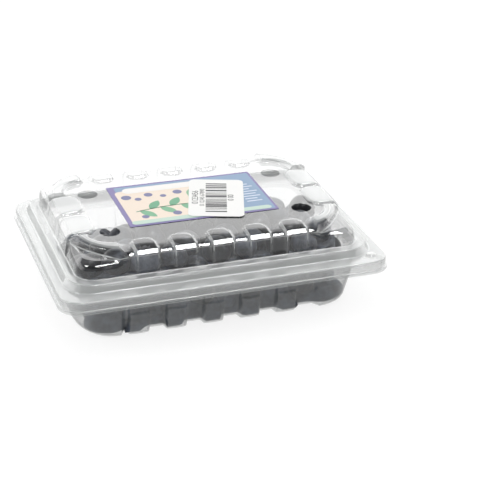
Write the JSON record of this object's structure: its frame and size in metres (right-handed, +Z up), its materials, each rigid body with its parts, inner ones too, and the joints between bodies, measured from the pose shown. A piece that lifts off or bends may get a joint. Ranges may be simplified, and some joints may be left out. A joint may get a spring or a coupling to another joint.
{
  "type": "punnet of blueberries",
  "caption": "Shut clear plastic punnet with a hinged ribbed lid, a paper label and a price sticker on top, full of loose blueberries.",
  "frame": {"origin": "on the table, under the middle of the bounding box", "axes": "+X along the long side, -Y is the front that opens, the hinge is along +Y, +Z up"},
  "size_m": [0.1418, 0.1068, 0.0392],
  "materials": {
    "tray_plastic": "clear drawn plastic sheet",
    "lid_plastic": "clear drawn plastic sheet",
    "fold_plastic": "clear drawn plastic sheet",
    "berry": "dark blue skin with a waxy bloom",
    "label_print": "printed film",
    "sticker_print": "printed paper"
  },
  "bodies": {
    "tray": {"tray": "tray_plastic", "berries": "berry", "hinge_fold": "fold_plastic"},
    "lid": {"lid": "lid_plastic", "label": "label_print", "sticker": "sticker_print"}
  },
  "joints": [
    {"name": "lid_hinge", "type": "hinge", "parent": "tray", "child": "lid", "pos_m": [0, 0.0525, 0.02005], "axis": [-1, 0, 0], "range_deg": [0, 175]}
  ]
}
